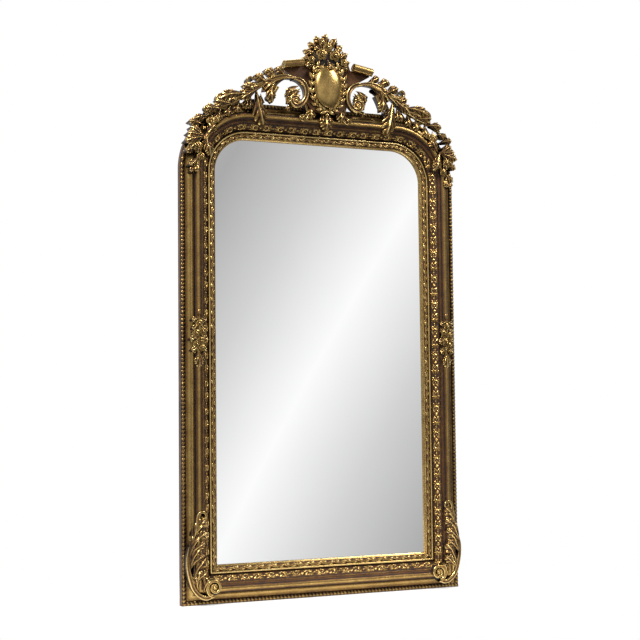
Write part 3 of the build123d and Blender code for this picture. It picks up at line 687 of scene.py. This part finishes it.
def crest_roll():
    """End of the parchment: a coiled sheet, lower at its outer end."""
    inner_x, length, fall, sheet = 97, 71, 12, 1.9
    full_turn = 2.3 * tau
    turns = np.linspace(0, full_turn, 90)[:, None]
    radius = 16.5 - 12.5 * turns / full_turn
    angle = radians(-16) + turns
    c = Carving()

    def sheet_patch(r, along, wear, flip):
        x = inner_x + length * along + 0 * r
        proud = PLATE + 2 + r * np.cos(angle) + 0 * along
        z = CREST_Z + 67 + r * np.sin(angle) - fall * (along - 0.5)
        c.patch(x, proud, z, wear + 0 * x, flip=flip)

    along = np.linspace(0, 1, 24)[None, :]
    # Painted shade on the inner turns of the coil, darker too at the outer edge of the sheet, lighter at
    # the two ends
    wear = 0.72 + 0.2 * (np.abs(along - 0.5) > 0.46) - 0.5 * smooth(tau, 1.3 * tau, turns)
    wear = wear - 0.4 * np.exp(-(turns / 0.25) ** 2)
    sheet_patch(radius, along, wear, False)
    sheet_patch(radius - sheet, along, wear, True)
    for end in (0, 1):
        sheet_patch(np.concatenate([radius, radius - sheet], 1), end, 0.85, end == 1)
    c.castings("crest_roll", lean=16)


def c_scroll():
    """C-shaped scroll that winds into a volute, with leaves and a rose in its hollow."""
    eye_x, eye_z = 117.5, CREST_Z - 56.7
    c = Carving()
    back_curve = spiral(126, CREST_Z - 29, 46, 48, 84, 169, 60)
    volute = spiral(eye_x, eye_z, 19, 4, 253, 500, 90)
    path = [np.concatenate([a[:-1], b]) for a, b in zip(back_curve, volute)]
    ribbon(c, path, PLATE + 1, swell(path, (0, 0.10, 0.42, 1), (9, 19, 17, 7)))
    dome(c, eye_x, eye_z, 6, 6, PLATE, 9)
    foliage(c, (
        (100, CREST_Z - 14, -28, 66, 34, PLATE - 4, -34, 4),
        (96, CREST_Z - 34, -30, 54, 26, PLATE - 8, 14, 3),
        (106, CREST_Z - 6, -8, 62, 26, PLATE - 3, -66, 4),
        (120, CREST_Z - 74, -34, 34, 20, PLATE - 8, 30, 3),
        (98, CREST_Z - 22, -18, 62, 34, PLATE - 7, -40, 4),
        (104, CREST_Z - 46, -2, 50, 28, PLATE - 8, -50, 3),
    ))
    rose(c, 130, CREST_Z - 24, 12, PLATE - 3, back=PLATE - 14)
    seeds = ((112, CREST_Z - 20), (120, CREST_Z - 30), (110, CREST_Z - 36), (122, CREST_Z - 42))
    berries(c, seeds, PLATE - 2, 4)
    c.castings("c_scroll", lean=16)


def acanthus_arm():
    """Stem from the C-scroll down to the shoulder, with its leaves, hooked tips and roses."""
    c = Carving()
    stem = through((118, 1781), (165, 1783), (205, 1772), (246, 1748), (290, 1716), (352, 1682),
                   (420, 1655), (448, 1636))
    ribbon(c, stem, taper(stem, PLATE, PLATE - 6), swell(stem, (0, 0.12, 0.5, 1), (5, 17, 15, 10)),
           channel=0.35)
    foliage(c, (
        (150, 1776, 0, 104, 44, PLATE + 1, -58, 6), (196, 1765, -50, 80, 34, PLATE + 5, -64, 5),
        (156, 1782, 40, 50, 26, PLATE - 1, -10, 4), (186, 1772, 36, 56, 30, PLATE, -8, 4),
        (222, 1752, 32, 58, 30, PLATE + 2, -12, 4), (262, 1724, 22, 54, 28, PLATE, -4, 4),
        (296, 1708, 12, 108, 34, PLATE + 4, -46, 6), (352, 1676, 8, 62, 28, PLATE + 1, -6, 4),
        (392, 1656, 2, 56, 28, PLATE + 3, -6, 4), (252, 1738, -30, 84, 30, PLATE + 6, -4, 5),
        (284, 1712, -62, 52, 30, 38, -24, 4), (318, 1698, -66, 52, 30, 38, -22, 4),
        (352, 1682, -70, 50, 28, 38, -20, 4), (388, 1664, -72, 50, 28, 38, -18, 3),
        (170, 1778, -22, 66, 34, PLATE - 2, -30, 4), (236, 1750, -6, 62, 34, PLATE - 2, -30, 4),
        (268, 1728, -14, 64, 34, PLATE - 3, -24, 4), (312, 1704, -10, 66, 34, PLATE - 3, -22, 4),
        (356, 1684, -14, 62, 32, PLATE - 4, -18, 4), (398, 1664, -16, 54, 30, PLATE - 5, -14, 4),
        (238, 1752, 54, 40, 26, PLATE - 3, 12, 3), (330, 1694, 40, 46, 26, PLATE - 3, -16, 3),
    ))
    for points in (
        ((244, 1754), (262, 1746), (280, 1742), (294, 1748), (299, 1760), (291, 1770), (281, 1767),
         (282, 1759)),
        ((336, 1692), (362, 1702), (386, 1706), (402, 1700), (408, 1688), (403, 1680), (397, 1684)),
        ((188, 1746), (199, 1724), (206, 1707), (215, 1699), (224, 1704), (223, 1713), (215, 1714)),
        ((206, 1776), (218, 1788), (229, 1796), (236, 1791), (233, 1784)),
        ((420, 1652), (434, 1660), (446, 1658), (450, 1650), (444, 1646)),
    ):
        hook = through(*points)
        ribbon(c, hook, PLATE + 1, taper(hook, 12, 5), channel=0.25)
    rose(c, 330, 1690, 13, 36)
    rose(c, 372, 1668, 12, 36, turn=0.5)
    c.castings("acanthus_arm", lean=20)


def hanging_leaf():
    """Leaves that hang from the arm over the top rail."""
    c = Carving()
    acanthus(c, 262, 1744, -94, 136, 50, 45, -16, 5, RAIL_BACK, arch=8, roll=4)
    acanthus(c, 242, 1724, -86, 44, 24, 40, -10, 3, RAIL_BACK)
    acanthus(c, 276, 1716, -74, 52, 22, 38, -20, 4, RAIL_BACK)
    c.castings("hanging_leaf")


def foot_scroll():
    """Scroll and leaves at the foot of the cartouche."""
    c = Carving()
    path = through((78, 1722), (77, 1700), (71, 1680), (66, 1662), (72, 1646), (86, 1640), (96, 1648),
                   (92, 1658), (84, 1655))
    ribbon(c, path, 42, taper(path, 11, 6), back=RAIL_BACK, channel=0.35)
    acanthus(c, 56, 1706, -92, 62, 34, 44, 10, 5, RAIL_BACK)
    acanthus(c, 72, 1668, -60, 30, 16, 42, 40, 3, RAIL_BACK)
    c.castings("foot_scroll")


def pendant_leaf():
    """Leaves under the cabochon, with a cluster of berries at their root."""
    c = Carving()
    acanthus(c, 0, 1678, -90, 66, 44, 46, lobes=5, back=RAIL_BACK, arch=7)
    acanthus(c, -8, 1676, -106, 44, 22, 44, 14, 3, RAIL_BACK)
    acanthus(c, 8, 1676, -74, 44, 22, 44, -14, 3, RAIL_BACK)
    cluster = ((0, 1682), (-6, 1676), (6, 1676), (0, 1670), (-4, 1664), (4, 1664), (0, 1657))
    berries(c, cluster, 53, 3.6)
    c.casting("pendant_leaf")


def laurel_spray():
    """Half of the wreath round the cabochon: a stem on an ellipse, and leaves in pairs."""
    across, up = 61, 84
    c = Carving()
    angles = np.radians(np.linspace(-96, 58, 60))
    stem = across * np.cos(angles), CREST_Z + up * np.sin(angles)
    ribbon(c, stem, PLATE + 2, 4.5, back=PLATE, channel=0.0)
    for i in range(9):
        angle = radians(-88 + 17 * i)
        x, z = across * cos(angle), CREST_Z + up * sin(angle)
        travel = degrees(atan2(up * cos(angle), -across * sin(angle))) + 7 * sin(5 * i)
        for side in (-33, 30):
            laurel(c, x, z, travel + side, 30 - 4 * (i % 2), 11, PLATE + 7 + 2 * (i % 2))
        berries(c, [(x + 3 * cos(angle), z + 3 * sin(angle))], PLATE + 6, 2.4)
    c.castings("laurel_spray", lean=10)


def flower_crown():
    """Bouquet on top: leaves fanned in pairs over a bed darkened as painted shade, roses, and a leaf over
    the cabochon.
    """
    c = Carving()
    # Low dome darkened as painted shade under the leaves
    dome(c, 0, 1858, 66, 40, PLATE - 14, 16, 0.2)
    for x, z, heading, *size in (
        (0, 1886, 90, 67, 30, 42), (14, 1886, 66, 60, 28, 44), (24, 1874, 49, 58, 28, 43),
        (34, 1860, 30, 56, 28, 45), (38, 1850, 7, 54, 26, 44), (36, 1842, -18, 48, 24, 47),
        (8, 1884, 79, 44, 20, 49), (30, 1868, 66, 36, 20, 51), (44, 1858, 48, 34, 18, 51),
        (20, 1838, -30, 40, 22, 50), (10, 1846, -62, 30, 18, 51),
    ):
        acanthus(c, x, z, heading, *size, back=PLATE - 20, arch=3, roll=5)
        if x:
            acanthus(c, -x, z, 180 - heading, *size, back=PLATE - 20, arch=3, roll=5)
    for x, z, radius, proud, turn in (
        (25, 1872, 21, 58, 0.0), (-25, 1872, 21, 58, 0.4), (0, 1899, 18, 54, 0.8),
        (62, 1851, 14, 54, 0.0), (-62, 1851, 14, 54, 0.3),
    ):
        rose(c, x, z, radius, proud, back=PLATE - 10, turn=turn)
    acanthus(c, -6, 1856, -82, 42, 22, PLATE + 12, 50, 3, back=PLATE - 10, roll=12)
    c.casting("flower_crown", lean=12)


# Ornament on the frame

def shoulder_garland():
    """Leaves and roses over the round shoulder, with a bud at the lower end."""
    c = Carving()
    foliage(c, (
        (448, 1560, 34, 56, 28, 48, -8, 4), (448, 1560, 10, 60, 28, 50, -8, 4),
        (450, 1558, -12, 69, 30, 54, -10, 5), (452, 1556, -36, 67, 28, 48, -10, 5),
        (446, 1566, -98, 68, 34, 52, -16, 5), (440, 1560, 116, 54, 34, 48, 20, 4),
        (455, 1600, 20, 46, 24, 44, -20, 3), (432, 1632, -8, 52, 24, 42, -18, 4),
        (470, 1520, -10, 46, 24, 46, -18, 4), (466, 1490, -50, 48, 22, 46, 14, 4),
        (474, 1478, -92, 42, 20, 44, 0, 3), (470, 1540, -84, 40, 20, 44, -8, 3),
        (444, 1540, -120, 50, 24, 46, 22, 4), (420, 1640, -84, 44, 24, 42, -14, 4),
        (484, 1470, -78, 36, 18, 42, 8, 3),
    ), back=RAIL_BACK)
    for flower in ((425, 1612, 16, 46), (404, 1620, 12, 44), (474, 1525, 16, 50), (461, 1491, 14, 48)):
        rose(c, *flower, back=RAIL_BACK)
    dome(c, 472, 1452, 8, 13, 40, 10)
    c.castings("shoulder_garland")


def stile_drop():
    """Drop of flowers half way up a stile: leaves in pairs, roses, and a bud on top."""
    axis = 467.5
    c = Carving()
    for z, heading, length, width, curl in (
        (962, -90, 58, 30, 0), (936, -58, 34, 20, 16), (936, -122, 34, 20, -16), (900, -40, 30, 20, -16),
        (900, -140, 30, 20, 16), (866, -50, 32, 20, -10), (866, -130, 32, 20, 10), (838, -90, 54, 28, 0),
        (834, -66, 36, 18, -12), (834, -114, 36, 18, 12), (950, -20, 26, 20, 0), (950, -160, 26, 20, 0),
        (884, -12, 32, 22, 0), (884, -168, 32, 22, 0), (850, -20, 28, 20, 0), (850, -160, 28, 20, 0),
    ):
        acanthus(c, axis, z, heading, length, width, 42, curl, 3, RAIL_BACK, arch=3, roll=3)
    for x, z, radius in (
        (axis, 932, 13), (457, 906, 14), (479, 898, 14), (463, 874, 15), (478, 862, 12), (459, 850, 12),
    ):
        rose(c, x, z, radius, 44, back=RAIL_BACK)
    dome(c, axis, 968, 8, 14, 38, 8, 0.55)
    c.castings("stile_drop")


def corner_volute():
    """Coil at the foot of a stile, over a disc darkened as painted shade, with an eye in the middle."""
    x, z = 419, 60
    c = Carving()
    coil = spiral(x, z, 29, 6, -75, 600, 110)
    ribbon(c, coil, taper(coil, 42, 45), taper(coil, 12, 7), back=RAIL_BACK, channel=0.15, crown=0.5)
    # Flat disc darkened as painted shade behind the coil
    dome(c, x, z, 27, 27, 34, 3, 0.12)
    dome(c, x, z, 7, 7, 42, 8)
    c.castings("corner_volute")


def corner_acanthus():
    """Sweep from the volute up the stile, with long leaves that rise beside it and a curl on top."""
    c = Carving()
    sweep = through((424, 34), (448, 27), (472, 38), (490, 60), (500, 90), (507, 122), (509, 156),
                    (503, 196))
    ribbon(c, sweep, taper(sweep, 40, 34), swell(sweep, (0, 0.5, 0.85, 1), (15, 16, 11, 3)),
           back=RAIL_BACK, channel=0.35)
    foliage(c, (
        (478, 50, 84, 72, 34, 38, 26, 4), (458, 44, 100, 52, 30, 38, 30, 3),
        (470, 46, 66, 60, 26, 36, 20, 3), (492, 84, 100, 88, 36, 42, 40, 4),
        (488, 74, 124, 60, 28, 44, 26, 3), (502, 122, 96, 84, 36, 40, 40, 4),
        (503, 126, 118, 66, 28, 44, 40, 3), (505, 160, 100, 86, 36, 40, 36, 4),
        (502, 168, 120, 66, 28, 45, 40, 3), (500, 200, 104, 92, 38, 40, 36, 4),
        (494, 206, 122, 60, 28, 46, 44, 3), (484, 240, 108, 58, 30, 43, 40, 3),
    ), back=RAIL_BACK, roll=9)
    curl = through((482, 236), (478, 262), (477, 288), (472, 304), (460, 309), (450, 302), (450, 291),
                   (458, 288), (463, 294))
    ribbon(c, curl, 44, taper(curl, 12, 6), back=RAIL_BACK, channel=0.25)
    c.castings("corner_acanthus")


cabochon()
crest_roll()
c_scroll()
acanthus_arm()
hanging_leaf()
foot_scroll()
pendant_leaf()
laurel_spray()
flower_crown()
shoulder_garland()
stile_drop()
corner_volute()
corner_acanthus()


# CAD nodes that stay, with their own finishes

FINISHES = {
    "cartouche_plate": crest_gilt, "mirror_glass": silver, "backing_board": hardboard,
    "back_stile": pine, "back_corner": pine, "crest_post": pine, "crest_packing": pine_across,
    "back_rail": pine_across, "glass_blocks": pine_across, "crest_straps": zinc,
    "hanger_": zinc, "wall_bumpers": rubber,
}
# The cartouche plate is darkened towards bole as painted shade behind the ornament
PLATE_WEAR_AND_SHADE = 0.36

for name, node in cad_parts.items():
    for start, material in FINISHES.items():
        if name.startswith(start):
            node.data.materials.clear()
            node.data.materials.append(material)
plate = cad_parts["cartouche_plate"].data
layer = plate.attributes.new("wear", "FLOAT", "POINT")
layer.data.foreach_set("value", np.full(len(plate.vertices), PLATE_WEAR_AND_SHADE, np.float32))


# Studio

def seen_rays(tree):
    """1 for rays that see the backdrop, straight or by way of metal and glass, and 0 for others."""
    paths = tree.nodes.new("ShaderNodeLightPath")
    passed_on = maths(tree, "ADD", paths.outputs["Is Glossy Ray"], paths.outputs["Is Transmission Ray"])
    return maths(tree, "MINIMUM", maths(tree, "ADD", paths.outputs["Is Camera Ray"], passed_on), 1.0)


def studio_floor():
    """Pale floor that keeps the shadow and fades into the surroundings."""
    bpy.ops.mesh.primitive_grid_add(x_subdivisions=24, y_subdivisions=24, size=4)
    floor = bpy.context.object
    floor.name = "studio_floor"
    material = bpy.data.materials.new("floor")
    material.use_nodes = True
    tree = material.node_tree
    tree.nodes.clear()
    out = tree.nodes.new("ShaderNodeOutputMaterial")
    diffuse = tree.nodes.new("ShaderNodeBsdfDiffuse")
    diffuse.inputs["Color"].default_value = (0.8, 0.8, 0.8, 1)
    glow = tree.nodes.new("ShaderNodeEmission")
    tree.links.new(maths(tree, "MULTIPLY", seen_rays(tree), 0.5), glow.inputs["Strength"])
    both = tree.nodes.new("ShaderNodeAddShader")
    tree.links.new(diffuse.outputs[0], both.inputs[0])
    tree.links.new(glow.outputs[0], both.inputs[1])

    squeeze = tree.nodes.new("ShaderNodeMapping")
    squeeze.inputs["Scale"].default_value = (0.75, 1.05, 1)
    length = tree.nodes.new("ShaderNodeVectorMath")
    length.operation = "LENGTH"
    tree.links.new(tree.nodes.new("ShaderNodeTexCoord").outputs["Object"], squeeze.inputs["Vector"])
    tree.links.new(squeeze.outputs[0], length.inputs[0])
    fade = add(tree, "ShaderNodeMapRange", interpolation_type="SMOOTHSTEP")
    fade.inputs["From Min"].default_value = 0.45
    fade.inputs["From Max"].default_value = 0.98
    tree.links.new(length.outputs["Value"], fade.inputs["Value"])
    mix = tree.nodes.new("ShaderNodeMixShader")
    tree.links.new(fade.outputs[0], mix.inputs[0])
    tree.links.new(both.outputs[0], mix.inputs[1])
    tree.links.new(tree.nodes.new("ShaderNodeBsdfTransparent").outputs[0], mix.inputs[2])
    tree.links.new(mix.outputs[0], out.inputs[0])
    floor.data.materials.append(material)


def surroundings():
    """White behind the mirror, and in front of it a soft diagonal sweep of white and grey."""
    sweep_x, sweep_z, sweep_start = 7.13, -3.63, -2.753
    world = bpy.data.worlds.new("studio")
    bpy.context.scene.world = world
    world.use_nodes = True
    tree = world.node_tree
    background = tree.nodes["Background"]
    direction = tree.nodes.new("ShaderNodeTexCoord")
    parts = tree.nodes.new("ShaderNodeSeparateXYZ")
    tree.links.new(direction.outputs["Generated"], parts.inputs[0])
    sweep = maths(tree, "MULTIPLY_ADD", parts.outputs["X"], sweep_x, sweep_start)
    sweep = maths(tree, "MULTIPLY_ADD", parts.outputs["Z"], sweep_z, sweep)
    reach = maths(tree, "MINIMUM", maths(tree, "ABSOLUTE", sweep), 2.0)
    tone = ramp(tree, maths(tree, "DIVIDE", reach, 2.0),
                [(0.0, (1.0,)), (0.25, (0.665,)), (0.5, (0.413,)), (1.0, (0.62,))])

    # Darker overhead, underfoot and to the sides, so that the gilding has depth
    aloft = ramp(tree, maths(tree, "ABSOLUTE", parts.outputs["Z"]), [(0.28, (0.0,)), (0.55, (1.0,))])
    aside = ramp(tree, maths(tree, "ABSOLUTE", parts.outputs["X"]), [(0.60, (0.0,)), (0.88, (1.0,))])
    dim = maths(tree, "MULTIPLY_ADD", maths(tree, "MAXIMUM", aloft, aside), -0.72, 1.0)
    dimmed = tree.nodes.new("ShaderNodeVectorMath")
    dimmed.operation = "SCALE"
    tree.links.new(tone, dimmed.inputs[0])
    tree.links.new(dim, dimmed.inputs["Scale"])

    front = ramp(tree, maths(tree, "ADD", parts.outputs["Y"], 0.5), [(0.4, (1.0,)), (0.6, (0.0,))])
    shade = tree.nodes.new("ShaderNodeMix")
    shade.data_type = "RGBA"
    tree.links.new(front, shade.inputs[0])
    shade.inputs[6].default_value = (1, 1, 1, 1)
    tree.links.new(dimmed.outputs[0], shade.inputs[7])
    tree.links.new(shade.outputs[2], background.inputs["Color"])
    strength = maths(tree, "MULTIPLY_ADD", seen_rays(tree), 0.62, 0.38)
    tree.links.new(strength, background.inputs["Strength"])


def lamp(name, place, target, size, power, colour=(1, 1, 1)):
    data = bpy.data.lights.new(name, "AREA")
    data.size, data.energy, data.color = size, power, colour
    obj = bpy.data.objects.new(name, data)
    bpy.context.scene.collection.objects.link(obj)
    obj.location = place
    look = np.array(target) - np.array(place)
    obj.rotation_euler = (atan2(np.hypot(look[0], look[1]), -look[2]), 0, atan2(look[1], look[0]) - pi / 2)


def photo_camera():
    """The camera of the photo, solved from the straight edges of the glass and the frame."""
    focal_pixels, photo_pixels, sensor = 1350, 640, 36
    data = bpy.data.cameras.new("camera")
    data.sensor_width = sensor
    data.lens = focal_pixels / photo_pixels * sensor
    camera = bpy.data.objects.new("camera", data)
    bpy.context.scene.collection.objects.link(camera)
    camera.location = (-1.907, -4.318, 0.660)
    camera.rotation_euler = (radians(93.558), radians(0.6035), radians(-23.787))
    bpy.context.scene.camera = camera


studio_floor()
surroundings()
lamp("key", (-2.7, -2.3, 4.5), (0, 0, 1.1), 1.2, 280, (1, 0.96, 0.88))
lamp("fill", (2.6, -2.2, 4.0), (0, 0, 1.0), 1.2, 85)
lamp("rim", (0.5, 2.6, 3.4), (0, 0, 1.0), 1.8, 40)
photo_camera()
bpy.context.scene.view_settings.view_transform = "Standard"
